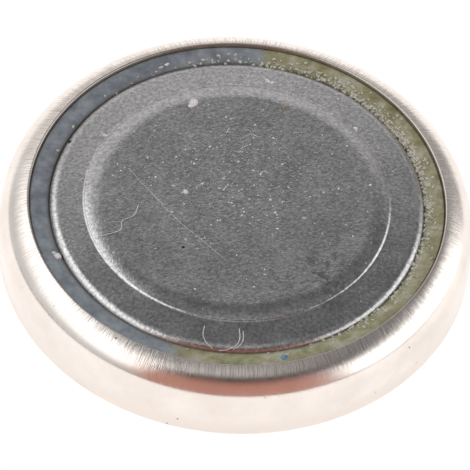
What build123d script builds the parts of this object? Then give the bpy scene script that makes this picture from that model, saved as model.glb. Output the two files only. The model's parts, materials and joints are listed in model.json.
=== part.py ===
from build123d import *
from math import cos, radians, sin
import os

# A low button cell, 11.6 mm across and 2.1 mm high. A steel can is crimped over a nylon gasket that
# grips a stepped steel cap, and the cathode, its seat ring, two separators and the zinc anode are
# sealed inside. The origin is the centre of the can's flat base, which lies on Z = 0, and +Z points
# out through the cap. Every piece is turned about Z from a half section, in millimetres.

# Overall size
cell_diameter = 11.6
cell_height = 2.1  # base of the can to the contact face of the cap

# Positive can: one drawn cup, whose mouth is crimped inwards over the gasket
can_sheet = 0.25
can_corner = 0.05  # inside radius between its floor and its side
lean_radius = 2.3  # outside radius of the first, slight curve of the crimp
lean_turn = 8.0  # degrees from upright where that curve ends
shoulder_radius = 0.7  # outside radius of the tight bend above it
slope_turn = 60.0  # degrees from upright of the straight slope up to the rim
rim_reach = 0.69  # side of the can in to the rim
rim_drop = 0.08  # contact face down to the rim
rim_round = 0.04  # broken outer corner of the rim's cut edge

# Negative cap: one pressed sheet, stepped down from its raised centre and flared out to a skirt
cap_sheet = 0.2
cap_bend = 0.05  # inside radius of the bends at the neck and at the skirt
step_reach = 2.04  # side of the can in to the foot of the raised centre
step_radius = 1.35  # outside radius of the raised centre's rounded edge
step_slope = 21.0  # degrees below level where that edge meets the ledge
crease_radius = 0.1  # outside radius of the crease at its foot
ledge_slope = 4.0  # degrees that the ledge falls outwards
neck_reach = 1.16  # side of the can in to the neck
neck_length = 0.06  # straight part of the neck
flare_bend = 0.12  # outside radius from the neck to the flare
flare_slope = 25.0  # degrees below level
skirt_length = 0.12  # straight part of the skirt

# Gasket: one moulded nylon ring, squeezed to fill what the crimp leaves
gasket_wall = 0.3  # between the side of the can and the skirt
gasket_foot = 0.2  # under the skirt
gasket_lip = 0.2  # thickness inside the skirt
gasket_upstand = 0.18  # height of that lip above the skirt's edge
rim_bare = 0.1  # part of the rim's cut edge that stands clear of the gasket
land_dish = 0.03  # hollow in the ring of gasket that shows round the cap

# Contents of the cell
film_thickness = 0.05
absorbent_thickness = 0.2
ring_sheet = 0.12
ring_corner = 0.06  # inside radius of the seat ring's bend
ring_flange = 0.5  # width of the ring over the pellet, from its outside
pellet_chamfer = 0.06
insert_clearance = 0.02  # seat ring and barrier film to the side of the can

# Radii that follow
can_radius = cell_diameter / 2
can_bore = can_radius - can_sheet
step_foot = can_radius - step_reach
neck_radius = can_radius - neck_reach
skirt_radius = can_bore - gasket_wall
gasket_bore = skirt_radius - cap_sheet - gasket_lip
insert_radius = can_bore - insert_clearance


def arc_travel(radius, start, stop):
    # sideways and upright travel along an arc that turns from start to stop degrees from upright
    start, stop = radians(start), radians(stop)
    return radius * (cos(start) - cos(stop)), radius * (sin(stop) - sin(start))


# The crimp, worked back from the rim to the top of the can's upright side
rim_height = cell_height - rim_drop
lean_reach, lean_rise = arc_travel(lean_radius, 0, lean_turn)
shoulder_reach, shoulder_rise = arc_travel(shoulder_radius, lean_turn, slope_turn)
slope_length = (rim_reach - lean_reach - shoulder_reach) / sin(radians(slope_turn))
slope_rise = slope_length * cos(radians(slope_turn))
side_top = rim_height - slope_rise - shoulder_rise - lean_rise

# Outer skins of the two metal cups, as half sections with the radius across and the height up
with BuildLine() as can_skin:
    floor = Line((0, 0), (can_bore - can_corner, 0))
    corner = JernArc(floor @ 1, floor % 1, can_corner + can_sheet, 90)
    side = Line(corner @ 1, (can_radius, side_top))
    lean = JernArc(side @ 1, side % 1, lean_radius, lean_turn)
    shoulder = JernArc(lean @ 1, lean % 1, shoulder_radius, slope_turn - lean_turn)
    slope = PolarLine(shoulder @ 1, slope_length, 90 + slope_turn)

cap_turn = cap_bend + cap_sheet
step_top = step_foot - step_radius * sin(radians(step_slope))
ledge_end = neck_radius - cap_turn * (1 - sin(radians(ledge_slope)))
flare_end = skirt_radius - cap_turn * (1 - sin(radians(flare_slope)))

with BuildLine() as cap_skin:
    face = Line((0, cell_height), (step_top, cell_height))
    step = JernArc(face @ 1, face % 1, step_radius, -step_slope)
    crease = JernArc(step @ 1, step % 1, crease_radius, step_slope - ledge_slope)
    ledge_run = ledge_end - (crease @ 1).X
    ledge = PolarLine(crease @ 1, ledge_run, -ledge_slope, length_mode=LengthMode.HORIZONTAL)
    brow = JernArc(ledge @ 1, ledge % 1, cap_turn, ledge_slope - 90)
    neck = PolarLine(brow @ 1, neck_length, -90)
    flare_root = JernArc(neck @ 1, neck % 1, flare_bend, 90 - flare_slope)
    flare_run = flare_end - (flare_root @ 1).X
    flare = PolarLine(flare_root @ 1, flare_run, -flare_slope, length_mode=LengthMode.HORIZONTAL)
    hip = JernArc(flare @ 1, flare % 1, cap_turn, flare_slope - 90)
    skirt = PolarLine(hip @ 1, skirt_length, -90)

# Heights that follow, down from the skirt's edge: the cathode takes the depth that is left
skirt_edge = (skirt @ 1).Y
film_top = skirt_edge - gasket_foot
pellet_top = film_top - film_thickness
absorbent_top = film_top + absorbent_thickness
pellet_side = pellet_top - ring_sheet - can_sheet  # from the can's floor up to the ring's flange

# Small rounds at the ring and the pellet, limited by the walls they stand on in a very low cell
ring_outer_round = min(ring_corner + ring_sheet, (pellet_top - can_sheet) / 2)
ring_inner_round = min(ring_corner, pellet_side / 2)
pellet_edge = min(pellet_chamfer, pellet_side / 2)

# --- the two metal cups, each a sheet laid inside its skin ---
with BuildPart() as positive_can:
    with BuildSketch(Plane.XZ) as can_section:
        with BuildLine():
            add(can_skin.line)
            offset(amount=can_sheet, side=Side.LEFT)
        make_face()
        fillet(can_section.vertices().group_by(Axis.Y)[-1], rim_round)
    revolve(axis=Axis.Z)
positive_can.part.label = "positive_can"

with BuildPart() as negative_cap:
    with BuildSketch(Plane.XZ) as cap_section:
        with BuildLine():
            add(cap_skin.line)
            offset(amount=cap_sheet, side=Side.RIGHT)
        make_face()
    revolve(axis=Axis.Z)
negative_cap.part.label = "negative_cap"

# All that the can's skin encloses, and all that the cap's skin and the gasket's bore enclose
with BuildSketch() as can_block:
    with BuildLine():
        add(can_skin.line)
        Polyline(slope @ 1, (0, rim_height), (0, 0))
    make_face()

with BuildSketch() as cap_block:
    with BuildLine():
        add(cap_skin.line)
        Polyline(
            skirt @ 1,
            (gasket_bore, skirt_edge),
            (gasket_bore, film_top),
            (0, film_top),
            (0, cell_height),
        )
    make_face()

# --- gasket: fills the crimp round the cap, with a foot under the skirt and a lip inside it ---
land_edge = slope @ 1 + Vector(0, -rim_bare).rotate(Axis.Z, slope_turn - 90)
land_middle = ((land_edge.X + ledge_end) / 2, land_edge.Y - land_dish)
lip_top = skirt_edge + gasket_upstand

with BuildPart() as gasket:
    with BuildSketch(Plane.XZ) as gasket_section:
        with BuildLine():
            land = ThreePointArc(land_edge, land_middle, (ledge_end, land_edge.Y))
            Polyline(
                land @ 1,
                (ledge_end, skirt_edge),
                (gasket_bore, skirt_edge),
                (gasket_bore, film_top),
                (can_radius, film_top),
                (can_radius, land_edge.Y),
                land @ 0,
            )
        make_face()
        add(can_block.sketch_local, mode=Mode.INTERSECT)
        add(cap_block.sketch_local, mode=Mode.SUBTRACT)
        with BuildLine():
            Polyline(
                (gasket_bore, skirt_edge),
                (gasket_bore + gasket_lip, skirt_edge),
                (gasket_bore + gasket_lip, lip_top),
                (gasket_bore, lip_top),
                close=True,
            )
        make_face()
        add(can_section.sketch_local, mode=Mode.SUBTRACT)
        add(cap_section.sketch_local, mode=Mode.SUBTRACT)
    revolve(axis=Axis.Z)
gasket.part.label = "gasket"

# --- cathode side: an L-shaped ring carries the gasket's foot and holds the pellet together ---
with BuildPart() as cathode_ring:
    with BuildSketch(Plane.XZ) as ring_section:
        with BuildLine():
            Polyline(
                (insert_radius, can_sheet),
                (insert_radius, pellet_top),
                (insert_radius - ring_flange, pellet_top),
                (insert_radius - ring_flange, pellet_top - ring_sheet),
                (insert_radius - ring_sheet, pellet_top - ring_sheet),
                (insert_radius - ring_sheet, can_sheet),
                close=True,
            )
        make_face()
        fillet(ring_section.vertices().group_by(Axis.X)[1].sort_by(Axis.Y)[-1], ring_inner_round)
        fillet(ring_section.vertices().group_by(Axis.X)[-1].sort_by(Axis.Y)[-1], ring_outer_round)
        fillet(ring_section.vertices().group_by(Axis.X)[-1].sort_by(Axis.Y)[0], can_corner)
    revolve(axis=Axis.Z)
cathode_ring.part.label = "cathode_ring"

with BuildPart() as cathode_pellet:
    with BuildSketch(Plane.XZ):
        with BuildLine():
            Polyline(
                (0, can_sheet),
                (insert_radius - ring_sheet - pellet_edge, can_sheet),
                (insert_radius - ring_sheet, can_sheet + pellet_edge),
                (insert_radius - ring_sheet, pellet_top - ring_sheet),
                (insert_radius - ring_flange, pellet_top - ring_sheet),
                (insert_radius - ring_flange, pellet_top),
                (0, pellet_top),
                close=True,
            )
        make_face()
        add(ring_section.sketch_local, mode=Mode.SUBTRACT)
    revolve(axis=Axis.Z)
cathode_pellet.part.label = "cathode_pellet"

# --- separators: a film clamped under the gasket, and a soft disc inside the gasket's lip ---
with BuildPart() as barrier_film:
    with BuildSketch(Plane.XY.offset(pellet_top)):
        Circle(insert_radius)
    extrude(amount=film_thickness)
barrier_film.part.label = "barrier_film"

with BuildPart() as absorbent_disc:
    with BuildSketch(Plane.XY.offset(film_top)):
        Circle(gasket_bore)
    extrude(amount=absorbent_thickness)
absorbent_disc.part.label = "absorbent_disc"

# --- anode: a zinc gel that fills the cap down to the absorbent disc ---
with BuildPart() as zinc_anode:
    with BuildSketch(Plane.XZ):
        with BuildLine():
            Polyline(
                (0, absorbent_top),
                (skirt_radius, absorbent_top),
                (skirt_radius, cell_height),
                (0, cell_height),
                close=True,
            )
        make_face()
        add(cap_block.sketch_local, mode=Mode.INTERSECT)
        add(cap_section.sketch_local, mode=Mode.SUBTRACT)
        add(gasket_section.sketch_local, mode=Mode.SUBTRACT)
    revolve(axis=Axis.Z)
zinc_anode.part.label = "zinc_anode"

os.makedirs("parts", exist_ok=True)
for piece in (
    positive_can,
    negative_cap,
    gasket,
    cathode_ring,
    cathode_pellet,
    barrier_film,
    absorbent_disc,
    zinc_anode,
):
    export_step(piece.part, f"parts/{piece.part.label}.step")
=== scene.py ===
import bpy
import bmesh
import json
import math
import random
from mathutils import Matrix, Vector, noise

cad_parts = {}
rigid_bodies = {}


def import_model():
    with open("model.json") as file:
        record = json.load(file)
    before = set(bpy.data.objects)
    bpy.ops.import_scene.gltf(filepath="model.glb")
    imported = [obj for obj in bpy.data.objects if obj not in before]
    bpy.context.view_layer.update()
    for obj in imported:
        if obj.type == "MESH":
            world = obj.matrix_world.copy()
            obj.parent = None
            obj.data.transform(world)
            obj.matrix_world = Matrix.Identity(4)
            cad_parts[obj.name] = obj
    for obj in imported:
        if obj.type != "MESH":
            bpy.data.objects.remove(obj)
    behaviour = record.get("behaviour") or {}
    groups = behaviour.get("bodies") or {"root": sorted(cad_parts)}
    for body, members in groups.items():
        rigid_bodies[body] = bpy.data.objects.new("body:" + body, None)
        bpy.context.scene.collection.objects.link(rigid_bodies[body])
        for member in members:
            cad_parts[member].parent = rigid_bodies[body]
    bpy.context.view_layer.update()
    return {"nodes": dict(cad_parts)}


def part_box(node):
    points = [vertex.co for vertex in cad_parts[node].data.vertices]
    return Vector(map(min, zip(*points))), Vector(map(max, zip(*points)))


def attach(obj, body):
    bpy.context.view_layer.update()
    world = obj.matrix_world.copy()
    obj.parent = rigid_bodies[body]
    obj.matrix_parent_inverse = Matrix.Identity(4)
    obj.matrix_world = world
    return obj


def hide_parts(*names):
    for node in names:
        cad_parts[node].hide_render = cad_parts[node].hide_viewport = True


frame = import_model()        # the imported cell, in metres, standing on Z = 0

# Sizes are in millimetres and angles in degrees. Azimuths count from +X towards +Y.
mm = 0.001
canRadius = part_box("positive_can")[1][0] / mm
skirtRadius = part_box("negative_cap")[1][0] / mm
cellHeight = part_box("negative_cap")[1][2] / mm
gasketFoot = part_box("gasket")[0][2] / mm
print("stage: frame loaded, cell", round(canRadius * 2, 2), "by", round(cellHeight, 2), "mm")


# Tools for the materials

def hexColour(text):
    # sRGB hex to a linear colour
    values = [int(text[i:i + 2], 16) / 255 for i in (1, 3, 5)]
    return [v / 12.92 if v <= 0.04045 else ((v + 0.055) / 1.055) ** 2.4 for v in values] + [1.0]


def addNode(tree, kind, inputs=None, **settings):
    # an input takes a number, a vector, a colour in hex, a socket, or a node for its first output
    node = tree.nodes.new("ShaderNode" + kind)
    for name, value in settings.items():
        if name == "stops":
            elements = node.color_ramp.elements
            while len(elements) < len(value):
                elements.new(0.5)
            for element, (position, colour) in zip(elements, value):
                element.position = position
                element.color = hexColour(colour)
        else:
            setattr(node, name, value)
    for name, value in (inputs or {}).items():
        if isinstance(value, bpy.types.Node):
            value = value.outputs[0]
        if isinstance(value, bpy.types.NodeSocket):
            tree.links.new(value, node.inputs[name])
        else:
            node.inputs[name].default_value = hexColour(value) if isinstance(value, str) else value
    return node


def newMaterial(name):
    # an empty node material, and the place of each point on the object in millimetres
    material = bpy.data.materials.new(name)
    material.use_nodes = True
    tree = material.node_tree
    tree.nodes.clear()
    corner = addNode(tree, "TexCoord").outputs["Object"]
    place = addNode(tree, "VectorMath", {0: corner, "Scale": 1 / mm}, operation="SCALE")
    return material, tree, place


def polarPlace(tree, place):
    # distance from the cell's axis, height above its base, and the unit direction outwards
    parts = addNode(tree, "SeparateXYZ", {0: place})
    flat = addNode(tree, "CombineXYZ", {0: parts.outputs[0], 1: parts.outputs[1]})
    radius = addNode(tree, "VectorMath", {0: flat}, operation="LENGTH").outputs["Value"]
    outward = addNode(tree, "VectorMath", {0: flat}, operation="NORMALIZE").outputs[0]
    return radius, parts.outputs[2], outward


def finishMaterial(tree, sockets):
    # the Principled shader and the output, with plain numbers kept on the shader's own sockets
    shader = addNode(tree, "BsdfPrincipled", sockets)
    addNode(tree, "OutputMaterial", {"Surface": shader})


# Tools for turned shapes

def walkSection(x, z, heading, moves):
    # follows a half section: (length, 0) runs straight on, (radius, turn) bends, left if positive
    points = [(x, z, heading)]
    for size, turn in moves:
        x, z, heading = points[-1]
        if turn == 0:
            ease = min(0.02, size / 4)  # short first and last steps keep the shading of the run flat
            inner = max(1, round(size / runStep))
            steps = [ease + (size - 2 * ease) * i / inner for i in range(inner + 1)] + [size]
            across, up = math.cos(math.radians(heading)), math.sin(math.radians(heading))
            points += [(x + across * step, z + up * step, heading) for step in steps]
        else:
            side = math.copysign(size, turn)
            lean = math.radians(heading)
            centre = (x - side * math.sin(lean), z + side * math.cos(lean))
            count = max(3, math.ceil(abs(turn) / turnStep))
            for i in range(1, count + 1):
                now = math.radians(heading + turn * i / count)
                points.append((centre[0] + side * math.sin(now), centre[1] - side * math.cos(now),
                               heading + turn * i / count))
    return points


def offsetSection(points, distance):
    # the same line moved sideways, to the left if positive
    return [(x - distance * math.sin(math.radians(heading)), z + distance * math.cos(math.radians(heading)),
             heading) for x, z, heading in points]


runStep = 0.25
turnStep = 2.0
ringSteps = 432  # faces round the cell


def turnedMesh(name, section, looped=False, shape=None):
    # turns a half section about Z; points on the axis become one vertex, and shape may move a point
    mesh = bmesh.new()
    rings = []
    for x, z, _ in section:
        if x < 1e-6:
            rings.append([mesh.verts.new((0, 0, z * mm))])
            continue
        ring = []
        for i in range(ringSteps):
            angle = 2 * math.pi * i / ringSteps
            radius, height = shape(x, z, angle) if shape else (x, z)
            ring.append(mesh.verts.new((radius * mm * math.cos(angle), radius * mm * math.sin(angle),
                                        height * mm)))
        rings.append(ring)
    pairs = list(zip(rings, rings[1:]))
    if looped:
        pairs.append((rings[-1], rings[0]))
    for first, second in pairs:
        for i in range(ringSteps):
            j = (i + 1) % ringSteps
            corners = [first[i % len(first)], first[j % len(first)], second[j % len(second)],
                       second[i % len(second)]]
            mesh.faces.new(list(dict.fromkeys(corners)))
    return placeMesh(name, mesh)


def placeMesh(name, mesh):
    # finishes a mesh: outward normals, smooth shading, and an object that rides with the cell
    bmesh.ops.recalc_face_normals(mesh, faces=mesh.faces)
    for face in mesh.faces:
        face.smooth = True
    data = bpy.data.meshes.new(name)
    mesh.to_mesh(data)
    mesh.free()
    piece = bpy.data.objects.new(name, data)
    bpy.context.collection.objects.link(piece)
    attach(piece, "root")
    return piece


# Sections of the two metal cups: the same bends as the real pressings

can = {
    "sheet": 0.25,
    "corner": 0.05,  # inside radius at the base
    "leanRadius": 2.3,
    "leanTurn": 8.0,
    "shoulderRadius": 0.72,
    "shoulderTurn": 45.0,  # leaning so far from upright, the shoulder eases into the crimp
    "slopeTurn": 71.5,  # lean at the rim
    "rimReach": 0.69,
    "rimDrop": 0.08,
    "rimRound": 0.04,
    "wave": 0.006,  # how far the hand of the crimping tool leaves the shoulder out of true
}

cap = {
    "sheet": 0.2,
    "edgeRadius": 0.28,  # outside radius of the rounded edge above the neck
    "bend": 0.05,  # inside radius of the bend into the skirt
    "faceRadius": 3.276,
    "stepRadius": 1.35,
    "stepSlope": 18.5,
    "footRadius": 0.1,  # the step ends in a short steep foot
    "footSlope": 40.0,
    "creaseRadius": 0.1,
    "ledgeSlope": 4.0,
    "neckReach": 1.16,
    "neckLength": 0.03,
    "flareBend": 0.12,
    "flareSlope": 25.0,
    "skirtLength": 0.118,
    "wave": 0.004,
}

gasket = {
    "lip": 0.2,
    "rimBare": 0.11,
    "landDish": 0.01,
    "landDip": 0.2,  # how far the land drops towards the cap
    "ripple": 0.012,  # unevenness of the squeezed land
}


def arcTravel(radius, start, stop):
    start, stop = math.radians(start), math.radians(stop)
    return radius * (math.cos(start) - math.cos(stop)), radius * (math.sin(stop) - math.sin(start))


def canSkin(slopeCut):
    # outer skin of the can from the middle of its base to the rim, less slopeCut at the rim
    leanReach, leanRise = arcTravel(can["leanRadius"], 0, can["leanTurn"])
    bendReach, bendRise = arcTravel(can["shoulderRadius"], can["leanTurn"], can["shoulderTurn"])
    start, stop = math.radians(can["shoulderTurn"]), math.radians(can["slopeTurn"])
    crimpRadius = (can["rimReach"] - leanReach - bendReach) / (math.cos(start) - math.cos(stop))
    crimpRise = arcTravel(crimpRadius, can["shoulderTurn"], can["slopeTurn"])[1]
    corner = can["corner"] + can["sheet"]
    sideTop = cellHeight - can["rimDrop"] - leanRise - bendRise - crimpRise
    return walkSection(0, 0, 0, [
        (canRadius - corner, 0),
        (corner, 90),
        (sideTop - corner, 0),
        (can["leanRadius"], can["leanTurn"]),
        (can["shoulderRadius"], can["shoulderTurn"] - can["leanTurn"]),
        (crimpRadius, can["slopeTurn"] - can["shoulderTurn"] - math.degrees(slopeCut / crimpRadius)),
    ])


def capSkin():
    # outer skin of the cap from the middle of its face to the skirt's edge
    edge, bend = cap["edgeRadius"], cap["bend"] + cap["sheet"]
    footSine, ledgeSine = math.sin(math.radians(cap["footSlope"])), math.sin(math.radians(cap["ledgeSlope"]))
    stepSine, flareSine = math.sin(math.radians(cap["stepSlope"])), math.sin(math.radians(cap["flareSlope"]))
    neckRadius = canRadius - cap["neckReach"]
    creaseEnd = (cap["faceRadius"] + cap["stepRadius"] * stepSine + cap["footRadius"] * (footSine - stepSine)
                 + cap["creaseRadius"] * (footSine - ledgeSine))
    ledgeRun = neckRadius - edge * (1 - ledgeSine) - creaseEnd
    flareRun = skirtRadius - neckRadius - (bend + cap["flareBend"]) * (1 - flareSine)
    return walkSection(0, cellHeight, 0, [
        (cap["faceRadius"], 0),
        (cap["stepRadius"], -cap["stepSlope"]),
        (cap["footRadius"], cap["stepSlope"] - cap["footSlope"]),
        (cap["creaseRadius"], cap["footSlope"] - cap["ledgeSlope"]),
        (ledgeRun / math.cos(math.radians(cap["ledgeSlope"])), 0),
        (edge, cap["ledgeSlope"] - 90),
        (cap["neckLength"], 0),
        (cap["flareBend"], 90 - cap["flareSlope"]),
        (flareRun / math.cos(math.radians(cap["flareSlope"])), 0),
        (bend, cap["flareSlope"] - 90),
        (cap["skirtLength"], 0),
    ])


def thinned(points):
    # the hidden inner skins need fewer rings
    return points[:-1:4] + points[-1:]


canOuter = canSkin(0)
canInner = offsetSection(thinned(canOuter), can["sheet"])
capOuter = capSkin()
capInner = offsetSection(thinned(capOuter), -cap["sheet"])
rimEdge = canOuter[-1]
print("stage: sections drawn, rim at", [round(v, 3) for v in rimEdge[:2]])


# Positive can

def canShape(x, z, angle):
    # the crimp is a little out of round, more so the nearer it is to the rim
    share = min(1.0, max(0.0, (z - 1.2) / 0.7))
    swing = noise.noise(Vector((math.cos(angle) * 1.6, math.sin(angle) * 1.6, 4.0)))
    ripple = noise.noise(Vector((math.cos(angle) * 7, math.sin(angle) * 7, 9.0 + z)))
    return x + share * can["wave"] * (swing + 0.4 * ripple), z + share * can["wave"] * 0.5 * swing


rimCurve = walkSection(*canSkin(can["rimRound"])[-1], [(can["rimRound"], 90)])
canSection = canSkin(can["rimRound"]) + rimCurve[1:] + canInner[::-1]
canPiece = turnedMesh("canShell", canSection, shape=canShape)
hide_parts("positive_can")


# Negative cap

def capShape(x, z, angle):
    # the face is drawn slightly hollow and hilly, as pressed sheet is
    hill = noise.noise(Vector((x * math.cos(angle) * 0.45, x * math.sin(angle) * 0.45, 2.0)))
    return x, z + cap["wave"] * (hill - 0.5) * (1 if z > cellHeight - 0.5 else 0)


capPiece = turnedMesh("capShell", capOuter + capInner[::-1], shape=capShape)
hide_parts("negative_cap")


# Gasket: the land that shows, down the cap, under the skirt, and back up the can

landEdge = (rimEdge[0] - gasket["rimBare"] * math.sin(math.radians(90 - can["slopeTurn"])),
            rimEdge[1] - gasket["rimBare"] * math.cos(math.radians(90 - can["slopeTurn"])))
landFrom = canRadius - cap["neckReach"] - cap["edgeRadius"]
landMiddle = (landEdge[0] + landFrom) / 2
landHalf = (landEdge[0] - landFrom) / 2


def landHeight(x):
    inward = (landEdge[0] - x) / (2 * landHalf)
    return (landEdge[1] - gasket["landDish"] * (1 - ((x - landMiddle) / landHalf) ** 2)
            - gasket["landDip"] * inward ** 2)


capWall = [point for point in capOuter if point[0] > landFrom and point[1] < landHeight(point[0])]
landStart = capWall[0][0]
landSteps = 14
landPoints = [(landEdge[0] + (landStart - landEdge[0]) * i / landSteps, 0, 0) for i in range(landSteps + 1)]
landPoints = [(x, landHeight(x), 0) for x, _, _ in landPoints]
skirtEdge = capOuter[-1][1]
gasketBore = skirtRadius - cap["sheet"] - gasket["lip"]
canWall = [point for point in canInner if point[0] > gasketBore and point[1] > gasketFoot]
lipTop = skirtEdge + cap["skirtLength"]
foot = [(skirtRadius - cap["sheet"], skirtEdge, 0), (skirtRadius - cap["sheet"], lipTop, 0),
        (gasketBore, lipTop, 0), (gasketBore, gasketFoot, 0), (canRadius - can["sheet"], gasketFoot, 0)]


def gasketShape(x, z, angle):
    # only the land ripples, and it stays in touch with the metal on both sides
    if z < landHeight(x) - 0.001 or x > landEdge[0] + 0.001:
        return x, z
    share = 1 - abs(2 * (x - landStart) / (landEdge[0] - landStart) - 1) ** 2
    swell = noise.noise(Vector((math.cos(angle) * 9, math.sin(angle) * 9, x * 2)))
    fine = noise.noise(Vector((math.cos(angle) * 45, math.sin(angle) * 45, x * 9)))
    return x, z + gasket["ripple"] * share * (swell + 0.35 * fine)


gasketSection = landPoints + capWall[1:] + foot + canWall
gasketPiece = turnedMesh("gasketRing", gasketSection, looped=True, shape=gasketShape)
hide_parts("gasket")
print("stage: shells turned,", sum(len(p.data.polygons) for p in (canPiece, capPiece, gasketPiece)), "faces")


# Materials

def brightNickel():
    # bright nickel on drawn steel: a mirror gone soft, combed at the shoulder by the drawing die
    material, tree, place = newMaterial("brightNickelOnDrawnSteel")
    radius, height, outward = polarPlace(tree, place)
    drawMark = 0.032  # width of one draw mark
    combed = addNode(tree, "VectorMath", {0: outward, "Scale": canRadius / drawMark}, operation="SCALE")
    along = addNode(tree, "Math", {0: height, 1: 5.0}, operation="MULTIPLY")
    rise = addNode(tree, "CombineXYZ", {2: along})
    combPlace = addNode(tree, "VectorMath", {0: combed, 1: rise}, operation="ADD")
    comb = addNode(tree, "TexNoise", {"Vector": combPlace, "Scale": 1.0, "Detail": 4.0, "Roughness": 0.6})
    combShare = addNode(tree, "MapRange", {0: height, 1: 1.7, 2: 1.94, 3: 0.03, 4: 1.0})
    combHeight = addNode(tree, "Math", {0: comb, 1: combShare}, operation="MULTIPLY")
    handling = addNode(tree, "TexNoise", {"Vector": place, "Scale": 1 / 1.4, "Detail": 5.0, "Roughness": 0.6})
    grain = addNode(tree, "TexNoise", {"Vector": place, "Scale": 1 / 0.06, "Detail": 2.0})
    tint = addNode(tree, "ValToRGB", {0: handling}, stops=[(0.3, "#e6ddd6"), (0.7, "#f4ede7")])
    pits = addNode(tree, "TexVoronoi", {"Vector": place, "Scale": 1 / 0.5})
    pitSpot = addNode(tree, "MapRange", {0: pits, 1: 0.03, 2: 0.07, 3: 1.0, 4: 0.0})
    pitShare = addNode(tree, "Math", {0: pits.outputs["Color"], 1: 0.62}, operation="GREATER_THAN")
    pit = addNode(tree, "Math", {0: pitSpot, 1: pitShare}, operation="MULTIPLY")
    streak = addNode(tree, "MapRange", {0: comb, 1: 0.45, 2: 0.62, 3: 0.0, 4: 0.4})
    streakShare = addNode(tree, "Math", {0: streak, 1: combShare}, operation="MULTIPLY")
    streaked = addNode(tree, "MixRGB", {0: streakShare, 1: tint, 2: "#9a9593"})
    # painted shade: the wall is darkened towards its base, in patches, for the floor's contact shade seen in
    # the metal
    lowWall = addNode(tree, "MapRange", {0: height, 1: 0.75, 2: 0.2, 3: 0.0, 4: 0.6})
    shadePatches = addNode(tree, "MapRange", {0: handling, 1: 0.4, 2: 0.65})
    baseShadeShare = addNode(tree, "Math", {0: lowWall, 1: shadePatches}, operation="MULTIPLY")
    baseShaded = addNode(tree, "MixRGB", {0: baseShadeShare, 1: streaked, 2: "#d3c6bd"})
    pitted = addNode(tree, "MixRGB", {0: pit, 1: baseShaded, 2: "#6f625a"})
    # the cut edge at the rim: bare steel, and painted darker as the shade in the gap beside the gasket
    bareEdgeShade = addNode(tree, "MapRange",
                      {0: radius, 1: rimEdge[0] - 0.005, 2: rimEdge[0] + 0.02, 3: 1.0, 4: 0.0})
    edgeShaded = addNode(tree, "MixRGB", {0: bareEdgeShade, 1: pitted, 2: "#b9b0a6"})
    polish = addNode(tree, "MapRange", {0: comb, 1: 0.3, 2: 0.7, 3: 0.10, 4: 0.24})
    worn = addNode(tree, "MapRange", {0: handling, 1: 0.35, 2: 0.7, 3: 0.0, 4: 0.06})
    rough = addNode(tree, "Math", {0: polish, 1: worn}, operation="ADD")
    combBump = addNode(tree, "Bump", {"Height": combHeight, "Distance": 0.006 * mm})
    grainBump = addNode(tree, "Bump", {"Height": grain, "Distance": 0.0008 * mm, "Normal": combBump})
    finishMaterial(tree, {"Base Color": edgeShaded, "Metallic": 1.0, "Roughness": rough, "Normal": grainBump})
    return material


def satinNickel():
    # nickel faced steel strip, rolled and pressed: satin, with a fine tooth that glints at the bends
    material, tree, place = newMaterial("satinNickelFacedStrip")
    radius = polarPlace(tree, place)[0]
    tooth = 0.085  # width of one grain
    grain = addNode(tree, "TexNoise", {"Vector": place, "Scale": 1 / tooth, "Detail": 2.0, "Roughness": 0.6})
    glint = addNode(tree, "TexNoise", {"Vector": place, "Scale": 1 / 0.04, "Detail": 1.0})
    patches = addNode(tree, "TexNoise", {"Vector": place, "Scale": 1 / 0.9, "Detail": 6.0, "Roughness": 0.65})
    tint = addNode(tree, "ValToRGB", {0: grain}, stops=[(0.3, "#a9a9ab"), (0.7, "#dddcdc")])
    shade = addNode(tree, "ValToRGB", {0: patches}, stops=[(0.3, "#e9e9ea"), (0.7, "#ffffff")])
    colour = addNode(tree, "MixRGB", {0: 1.0, 1: tint, 2: shade}, blend_type="MULTIPLY")
    scuffAt = addNode(tree, "VectorMath", {0: place, 1: (2.15, -2.2, cellHeight)}, operation="DISTANCE")
    scuffNear = addNode(tree, "MapRange", {0: scuffAt.outputs["Value"], 1: 0.3, 2: 1.1, 3: 1.0, 4: 0.0})
    blotch = addNode(tree, "TexNoise", {"Vector": place, "Scale": 1 / 0.25, "Detail": 4.0, "Roughness": 0.7})
    blotchSpot = addNode(tree, "MapRange", {0: blotch, 1: 0.5, 2: 0.58})
    scuff = addNode(tree, "Math", {0: scuffNear, 1: blotchSpot}, operation="MULTIPLY")
    scuffed = addNode(tree, "MixRGB", {0: scuff, 1: colour, 2: "#8d8987"})
    # painted shade: the cap darkens to a brown line where it meets the gasket
    capEdgeShade = addNode(tree, "MapRange", {0: radius, 1: landStart - 0.06, 2: landStart, 3: 0.0, 4: 0.55})
    finished = addNode(tree, "MixRGB", {0: capEdgeShade, 1: scuffed, 2: "#7d7466"})
    rough = addNode(tree, "MapRange", {0: patches, 1: 0.3, 2: 0.7, 3: 0.2, 4: 0.28})
    grainBump = addNode(tree, "Bump", {"Height": grain, "Distance": 0.003 * mm})
    glintBump = addNode(tree, "Bump", {"Height": glint, "Distance": 0.003 * mm, "Normal": grainBump})
    finishMaterial(tree, {"Base Color": finished, "Metallic": 1.0, "Roughness": rough, "Normal": glintBump})
    return material


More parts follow.
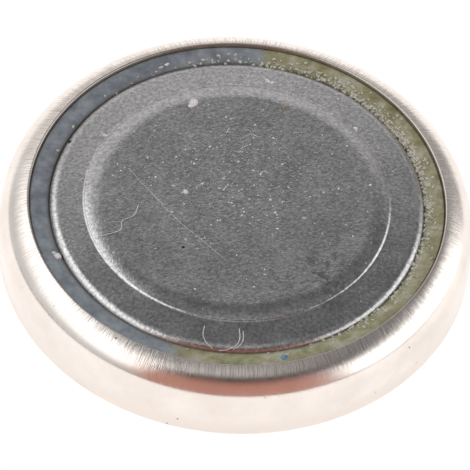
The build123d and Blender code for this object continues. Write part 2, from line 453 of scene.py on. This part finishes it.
def mouldedNylon():
    # moulded nylon: dull and slightly waxy, blue grey on one side and stained olive on the other
    material, tree, place = newMaterial("mouldedNylonGrommet")
    radius, _, outward = polarPlace(tree, place)
    greySide = (math.cos(math.radians(171)), math.sin(math.radians(171)), 0)
    facing = addNode(tree, "VectorMath", {0: outward, 1: greySide}, operation="DOT_PRODUCT").outputs["Value"]
    stain = addNode(tree, "TexNoise", {"Vector": place, "Scale": 1 / 0.35, "Detail": 4.0, "Roughness": 0.65})
    wander = addNode(tree, "MapRange", {0: stain, 1: 0.3, 2: 0.7, 3: -0.09, 4: 0.09})
    edge = addNode(tree, "Math", {0: facing, 1: wander}, operation="ADD")
    olive = addNode(tree, "MapRange", {0: edge, 1: 0.02, 2: 0.15, 3: 1.0, 4: 0.0})
    greyTint = addNode(tree, "ValToRGB", {0: stain}, stops=[(0.35, "#717a83"), (0.65, "#98a1a9")])
    oliveTint = addNode(tree, "ValToRGB", {0: stain},
                        stops=[(0.3, "#7f7d55"), (0.5, "#9f9e7e"), (0.7, "#bfc0ac")])
    body = addNode(tree, "MixRGB", {0: olive, 1: greyTint, 2: oliveTint})
    # painted shade: the land darkens where it meets the cap's edge
    innerEdgeShade = addNode(tree, "MapRange", {0: radius, 1: landStart, 2: landStart + 0.09, 3: 0.75, 4: 0.0})
    innerShaded = addNode(tree, "MixRGB", {0: innerEdgeShade, 1: body, 2: "#5c5648"})
    # painted shade: the land darkens where it tucks under the can's rim
    outer = addNode(tree, "MapRange", {0: radius, 1: landEdge[0] - 0.025, 2: landEdge[0], 3: 0.0, 4: 0.7})
    rimShaded = addNode(tree, "MixRGB", {0: outer, 1: innerShaded, 2: "#51483f"})
    skin = addNode(tree, "TexNoise", {"Vector": place, "Scale": 1 / 0.08, "Detail": 3.0})
    bump = addNode(tree, "Bump", {"Height": skin, "Distance": 0.01 * mm})
    rough = addNode(tree, "MapRange", {0: stain, 1: 0.3, 2: 0.7, 3: 0.32, 4: 0.5})
    finishMaterial(tree, {"Base Color": rimShaded, "Roughness": rough, "IOR": 1.53, "Normal": bump})
    return material


canPiece.data.materials.append(brightNickel())
capPiece.data.materials.append(satinNickel())
gasketPiece.data.materials.append(mouldedNylon())

# Dirt: salt, dust, fibres and two scratches lying on the cap and on the gasket

def surfaceHeight(radius):
    # height of the cap's face, or of the gasket's land, at a distance from the axis
    if radius > landStart:
        return landHeight(min(radius, landEdge[0]))
    for (x, z, _), (nextX, nextZ, _) in zip(capOuter, capOuter[1:]):
        if x <= radius <= nextX:
            return z + (nextZ - z) * (radius - x) / (nextX - x)
    return cellHeight


def addFleck(mesh, x, y, width, stretch, turn, dice):
    # one squashed crumb with a broken outline
    made = bmesh.ops.create_icosphere(mesh, subdivisions=2 if width > 0.08 else 1, radius=width / 2 * mm)
    thick = min(0.6, 0.035 / width)
    spin = Matrix.Rotation(turn, 3, "Z")
    centre = Vector((x, y, surfaceHeight(math.hypot(x, y)) + 0.2 * width * thick)) * mm
    for vertex in made["verts"]:
        spot = vertex.co * dice.uniform(0.7, 1.25)
        vertex.co = centre + spin @ Vector((spot.x * stretch, spot.y / stretch, spot.z * thick))


def dirtPiece(name, mesh, material):
    piece = placeMesh(name, mesh)
    piece.data.materials.append(material)
    return piece


def crumbMaterial(name, dark, light, roughness):
    # crumbs are powdery and uneven in colour, from one crumb to the next and within each
    material, tree, place = newMaterial(name)
    mottle = addNode(tree, "TexNoise", {"Vector": place, "Scale": 1 / 0.05, "Detail": 3.0, "Roughness": 0.7})
    tint = addNode(tree, "ValToRGB", {0: mottle}, stops=[(0.3, dark), (0.7, light)])
    gloss = addNode(tree, "MapRange", {0: mottle, 1: 0.3, 2: 0.7, 3: roughness - 0.08, 4: roughness + 0.08})
    bump = addNode(tree, "Bump", {"Height": mottle, "Distance": 0.008 * mm})
    finishMaterial(tree, {"Base Color": tint, "Roughness": gloss, "Normal": bump})
    return material


paleCrumbs = {
    "seed": 11,
    "placed": [  # x, y, width, stretch
        (-1.23, 3.01, 0.25, 1.1), (-1.29, 2.90, 0.14, 1.2), (-3.34, 1.85, 0.11, 1.3), (0.54, 3.98, 0.13, 1.6),
        (0.66, 3.94, 0.09, 1.4), (2.78, 2.63, 0.11, 1.2), (-1.27, 0.13, 0.13, 1.1), (-0.76, 1.62, 0.07, 1.0),
        (-1.12, 1.04, 0.07, 1.2), (0.80, 0.06, 0.08, 1.0), (0.94, -0.34, 0.08, 1.1), (1.02, -0.84, 0.07, 1.3),
        (3.22, 0.75, 0.08, 1.0), (2.30, 3.56, 0.07, 1.5), (-2.91, -1.94, 0.06, 1.1), (-1.60, 0.29, 0.06, 1.3),
        (-2.90, 0.65, 0.05, 1.1), (-3.08, 0.48, 0.05, 1.0), (-3.54, 0.18, 0.05, 1.0), (1.96, 2.25, 0.05, 1.2),
        (2.59, 1.95, 0.05, 1.0), (-4.28, -1.98, 0.2, 1.2), (-4.36, -1.90, 0.1, 1.3), (-1.98, 4.37, 0.1, 1.2),
        (-0.42, 2.60, 0.06, 1.0), (0.30, 2.42, 0.06, 1.2),
    ],
    "streaks": [  # x, y, length, direction
        (0.12, 1.73, 0.22, 35), (-0.35, 2.20, 0.18, 70), (-0.25, 2.59, 0.14, 20), (-0.94, 0.38, 0.2, 40),
        (-0.30, 0.38, 0.16, 60), (0.28, 2.10, 0.16, -20), (-0.02, 1.52, 0.12, 10),
    ],
    "dust": 420,
}

otherCrumbs = {
    "rust": [(0.93, 3.05, 0.08, 1.8), (0.82, 2.34, 0.05, 1.3), (1.02, 3.03, 0.06, 1.5)],
    "soot": [(-1.23, -1.62, 0.08, 1.1), (-4.20, 1.64, 0.1, 1.4)],
    "blueDye": [(1.38, -4.69, 0.15, 1.0), (1.45, -4.62, 0.06, 1.2)],
}

crust = {
    "seed": 23,
    "count": 760,
    "middle": 25,  # azimuth where it is heaviest
    "spread": 38,
}

fibres = {
    "radius": 0.011,
    "paths": {
        "curl": [(-2.40, -0.39), (-2.50, -0.75), (-2.76, -0.93), (-2.77, -1.19), (-2.94, -1.33),
                 (-3.23, -1.45)],
        "hairpin": [(-0.58, -3.94), (-0.60, -4.22), (-0.50, -4.44), (-0.34, -4.55)],
        "loop": [(0.26, -3.96), (0.29, -4.24), (0.22, -4.44), (0.02, -4.55), (-0.20, -4.58)],
        "strand": [(0.36, -4.03), (0.37, -4.30), (0.28, -4.46), (0.14, -4.54)],
    },
}

scratches = {
    "radius": 0.007,
    "paths": {
        "long": [(-2.10, -0.01), (-1.34, -0.87), (-1.01, -1.16), (-0.20, -1.92)],
        "short": [(-2.71, 0.77), (-2.42, 0.38)],
        "cross": [(-2.42, 0.38), (-1.75, -0.36)],
    },
}


def threadMesh(mesh, path, radius, sink):
    # a round thread through the points, lying on the surface
    points = []
    ends = [path[0]] + path + [path[-1]]
    for i in range(1, len(ends) - 2):
        before, start, stop, after = (Vector(p) for p in ends[i - 1:i + 3])
        for j in range(10):
            t = j / 10
            points.append(0.5 * (2 * start + (stop - before) * t
                                 + (2 * before - 5 * start + 4 * stop - after) * t * t
                                 + (3 * start - before - 3 * stop + after) * t ** 3))
    points.append(Vector(path[-1]))
    spots = [Vector((p.x, p.y, surfaceHeight(p.length) + radius - sink)) for p in points]
    rings = []
    for i, spot in enumerate(spots):
        along = (spots[min(i + 1, len(spots) - 1)] - spots[max(i - 1, 0)]).normalized()
        side = along.cross(Vector((0, 0, 1))).normalized()
        lift = side.cross(along)
        taper = radius * (0.5 if i in (0, len(spots) - 1) else 1)
        rings.append([mesh.verts.new((spot + taper * (side * math.cos(k * math.pi / 3)
                                                      + lift * math.sin(k * math.pi / 3))) * mm)
                      for k in range(6)])
    for first, second in zip(rings, rings[1:]):
        for k in range(6):
            mesh.faces.new((first[k], first[(k + 1) % 6], second[(k + 1) % 6], second[k]))
    mesh.faces.new(rings[0])
    mesh.faces.new(rings[-1])


dice = random.Random(paleCrumbs["seed"])
pale = bmesh.new()
for x, y, width, stretch in paleCrumbs["placed"]:
    addFleck(pale, x, y, width, stretch, dice.uniform(0, math.pi), dice)
for x, y, length, direction in paleCrumbs["streaks"]:
    for i in range(5):
        step = length * (i / 4 - 0.5)
        addFleck(pale, x + step * math.cos(math.radians(direction)),
                 y + step * math.sin(math.radians(direction)),
                 dice.uniform(0.025, 0.045), 1.4, math.radians(direction), dice)
for i in range(paleCrumbs["dust"]):
    spread = 1.1 if i % 3 else 2.2
    x, y = dice.gauss(0.0, spread), dice.gauss(0.7, spread)
    if math.hypot(x, y) < 4.3:
        addFleck(pale, x, y, dice.uniform(0.018, 0.035) * dice.choice((1, 1, 1, 1.8)),
                 dice.uniform(1, 1.7), dice.uniform(0, math.pi), dice)
dirtPiece("paleCrumbs", pale, crumbMaterial("driedPotashSalt", "#d9d8d6", "#fbfbfa", 0.6))

for kind, dark, light in (("rust", "#7b4a22", "#b98a55"), ("soot", "#171515", "#2c2927"),
                          ("blueDye", "#3f6f9e", "#8fb6d6")):
    crumbs = bmesh.new()
    for x, y, width, stretch in otherCrumbs[kind]:
        addFleck(crumbs, x, y, width, stretch, dice.uniform(0, math.pi), dice)
    dirtPiece(kind + "Crumbs", crumbs, crumbMaterial(kind + "Specks", dark, light, 0.6))

dice = random.Random(crust["seed"])
growth = bmesh.new()
for i in range(crust["count"]):
    azimuth = math.radians(dice.gauss(crust["middle"], crust["spread"]))
    radius = landStart + abs(dice.gauss(0.02, 0.13))
    if radius < landEdge[0] - 0.08:
        addFleck(growth, radius * math.cos(azimuth), radius * math.sin(azimuth), dice.uniform(0.03, 0.1),
                 dice.uniform(1, 1.4), dice.uniform(0, math.pi), dice)
dirtPiece("saltCrust", growth, crumbMaterial("creptAlkaliCrust", "#b3b5a2", "#dfe0d6", 0.5))

threads = bmesh.new()
for path in fibres["paths"].values():
    threadMesh(threads, path, fibres["radius"], 0)
dirtPiece("fibres", threads, crumbMaterial("paleLintFibre", "#c6c4cc", "#f1eff2", 0.5))

marks = bmesh.new()
for path in scratches["paths"].values():
    threadMesh(marks, path, scratches["radius"], scratches["radius"] * 0.8)
dirtPiece("scratchBurrs", marks, crumbMaterial("raisedScratchBurr", "#bdbcbc", "#e2e0df", 0.3))
faceCount = sum(len(o.data.polygons) for o in bpy.data.objects if o.type == "MESH")
print("stage: dirt laid,", faceCount, "faces in all")


# Contents: plain finishes for the sealed pieces, which stay as the frame's own meshes

contents = {
    # node: material name, dark and light colour, grain, metallic, roughness, bump depth
    "cathode_ring": ("pressedSteelStrip", "#8d8a86", "#b5b2ad", 0.08, 1.0, 0.35, 0.004),
    "cathode_pellet": ("pressedManganesePowder", "#151516", "#2c2b2d", 0.06, 0.0, 0.85, 0.02),
    "barrier_film": ("castCelluloseFilm", "#b9ad86", "#d8cfae", 0.9, 0.0, 0.3, 0.004),
    "absorbent_disc": ("unwovenCelluloseFelt", "#bdb9ae", "#e6e3da", 0.05, 0.0, 0.95, 0.03),
    "zinc_anode": ("zincPowderGel", "#4d5155", "#868b90", 0.05, 0.4, 0.5, 0.02),
}

for node, (name, dark, light, grainSize, metallic, roughness, depth) in contents.items():
    # each grain is the powder, fibre or rolling texture of that piece
    material, tree, place = newMaterial(name)
    grain = addNode(tree, "TexNoise",
                    {"Vector": place, "Scale": 1 / grainSize, "Detail": 5.0, "Roughness": 0.7})
    tint = addNode(tree, "ValToRGB", {0: grain}, stops=[(0.3, dark), (0.7, light)])
    gloss = addNode(tree, "MapRange", {0: grain, 1: 0.3, 2: 0.7, 3: roughness - 0.05, 4: roughness + 0.05})
    bump = addNode(tree, "Bump", {"Height": grain, "Distance": depth * mm})
    finishMaterial(tree, {"Base Color": tint, "Metallic": metallic, "Roughness": gloss, "Normal": bump})
    cadNode = frame["nodes"][node]
    cadNode.data.materials.clear()
    cadNode.data.materials.append(material)
print("stage: materials made,", len(bpy.data.materials))


# Floor, light and camera

studio = {
    "floorRadius": 600.0,
    "floorGlow": 0.94,
    "lensWidth": 36.0,
    "cameraAway": 232.0,
    "cameraRaised": 50.2,
    "cameraRoll": 4.0,
    "viewWidth": 11.52,  # of the view, at the cell
    "aimHeight": 0.87,
    "aimDrop": 0.08,  # the look-at point lies this far below the cell's middle, up the view
}

floorMesh = bmesh.new()
bmesh.ops.create_circle(floorMesh, cap_ends=True, segments=96, radius=studio["floorRadius"] * mm)
floorData = bpy.data.meshes.new("lightTable")
floorMesh.to_mesh(floorData)
floorMesh.free()
floor = bpy.data.objects.new("lightTable", floorData)
floor.location.z = -0.005 * mm  # a hair below the can, so that the two surfaces don't fight
bpy.context.collection.objects.link(floor)
material, tree, place = newMaterial("opalAcrylic")
cloud = addNode(tree, "TexNoise", {"Vector": place, "Scale": 1 / 60.0, "Detail": 2.0})
tint = addNode(tree, "ValToRGB", {0: cloud}, stops=[(0.3, "#7c7b7a"), (0.7, "#828180")])
finishMaterial(tree, {"Base Color": tint, "Roughness": 0.6, "Emission Color": "#fffdfb",
                      "Emission Strength": studio["floorGlow"]})
floorData.materials.append(material)


def paintRoom():
    # the room round the light table, by direction: bright low walls and side boxes, a dim ceiling,
    # and a dark, warm corner on the viewer's side
    world = bpy.data.worlds.new("studioRoom")
    bpy.context.scene.world = world
    world.use_nodes = True
    tree = world.node_tree
    tree.nodes.clear()
    direction = addNode(tree, "TexCoord").outputs["Generated"]
    parts = addNode(tree, "SeparateXYZ", {0: direction})
    rise = addNode(tree, "Math", {0: parts.outputs[2]}, operation="ARCSINE", use_clamp=False)
    share = addNode(tree, "Math", {0: rise, 1: math.pi / 2}, operation="DIVIDE", use_clamp=True)
    flat = addNode(tree, "CombineXYZ", {0: parts.outputs[0], 1: parts.outputs[1]})
    compass = addNode(tree, "VectorMath", {0: flat}, operation="NORMALIZE")
    towards = addNode(tree, "SeparateXYZ", {0: compass})
    leaning = addNode(tree, "Math", {0: parts.outputs[0], 1: 0.25, 2: share}, operation="MULTIPLY_ADD")
    back = addNode(tree, "ValToRGB", {0: leaning}, stops=[
        (0.0, "#d6d3d1"), (0.44, "#e0dedd"), (0.48, "#d9d8d7"), (0.52, "#a8a7a7"), (0.56, "#747475"),
        (0.62, "#69696a"), (0.8, "#7c7c7c"), (1.0, "#b0afaf")])
    front = addNode(tree, "ValToRGB", {0: share}, stops=[
        (0.0, "#c49184"), (0.44, "#b98779"), (0.54, "#84605a"), (0.58, "#3c3636"), (0.62, "#4a4645"),
        (0.69, "#b5b3b2"), (0.8, "#c4c3c2"), (1.0, "#b4b3b3")])
    forward = addNode(tree, "MapRange", {0: towards.outputs[1], 1: -0.55, 2: -0.82, 3: 0.0, 4: 1.0},
                      interpolation_type="SMOOTHSTEP")
    room = addNode(tree, "MixRGB", {0: forward, 1: back, 2: front})
    screen = addNode(tree, "VectorMath", {0: direction, 1: (0.6, 0.76, 0.25)}, operation="DOT_PRODUCT")
    screenShare = addNode(tree, "MapRange", {0: screen.outputs["Value"], 1: 0.88, 2: 0.97, 3: 0.0, 4: 0.8},
                          interpolation_type="SMOOTHSTEP")
    screened = addNode(tree, "MixRGB", {0: screenShare, 1: room, 2: "#8f8c8a"})
    sideways = addNode(tree, "Math", {0: towards.outputs[0], 1: 0.08}, operation="SUBTRACT")
    beside = addNode(tree, "Math", {0: sideways}, operation="ABSOLUTE")
    besideShare = addNode(tree, "MapRange", {0: beside, 1: 0.6, 2: 0.8}, interpolation_type="SMOOTHSTEP")
    upper = addNode(tree, "Math", {0: towards.outputs[0], 1: 0.13, 2: share}, operation="MULTIPLY_ADD")
    low = addNode(tree, "MapRange", {0: upper, 1: 0.51, 2: 0.64, 3: 1.0, 4: 0.0},
                  interpolation_type="SMOOTHSTEP")
    boxes = addNode(tree, "Math", {0: besideShare, 1: low}, operation="MULTIPLY")
    boxHeight = addNode(tree, "Math", {0: towards.outputs[0], 1: 0.2, 2: share}, operation="MULTIPLY_ADD")
    boxGlow = addNode(tree, "MapRange", {0: boxHeight, 1: 0.0, 2: 0.25, 3: 0.7, 4: 1.7})
    strength = addNode(tree, "Mix", {0: boxes, 2: 1.0, 3: boxGlow})
    lit = addNode(tree, "MixRGB", {0: boxes, 1: screened, 2: "#ffffff"})
    sill = addNode(tree, "MapRange", {0: share, 1: 0.02, 2: 0.06, 3: 0.75, 4: 0.0},
                   interpolation_type="SMOOTHSTEP")
    nearSill = addNode(tree, "MapRange", {0: towards.outputs[1], 1: 0.5, 2: 0.1, 3: 0.0, 4: 1.0})
    sillShare = addNode(tree, "Math", {0: sill, 1: nearSill}, operation="MULTIPLY")
    silled = addNode(tree, "MixRGB", {0: sillShare, 1: lit, 2: "#5d5456"})
    background = addNode(tree, "Background", {"Color": silled, "Strength": strength})
    addNode(tree, "OutputWorld", {"Surface": background})


paintRoom()

lens = bpy.data.cameras.new("viewer")
lens.sensor_width = studio["lensWidth"]
lens.lens = studio["lensWidth"] * studio["cameraAway"] / studio["viewWidth"]
lens.clip_start = 10 * mm
lens.clip_end = 5000 * mm
camera = bpy.data.objects.new("viewer", lens)
bpy.context.collection.objects.link(camera)
raised = math.radians(studio["cameraRaised"])
toCamera = Vector((0, -math.cos(raised), math.sin(raised)))
viewUp = Vector((0, math.sin(raised), math.cos(raised)))
aim = Vector((0, 0, studio["aimHeight"])) - viewUp * studio["aimDrop"]
turned = (-toCamera).to_track_quat("-Z", "Y").to_matrix().to_4x4()
rolled = Matrix.Rotation(math.radians(studio["cameraRoll"]), 4, "Z")
camera.matrix_world = Matrix.Translation((aim + toCamera * studio["cameraAway"]) * mm) @ turned @ rolled
bpy.context.scene.camera = camera
bpy.context.scene.view_settings.view_transform = "Standard"
bpy.context.scene.view_settings.look = "None"
print("stage: floor, light and camera set")
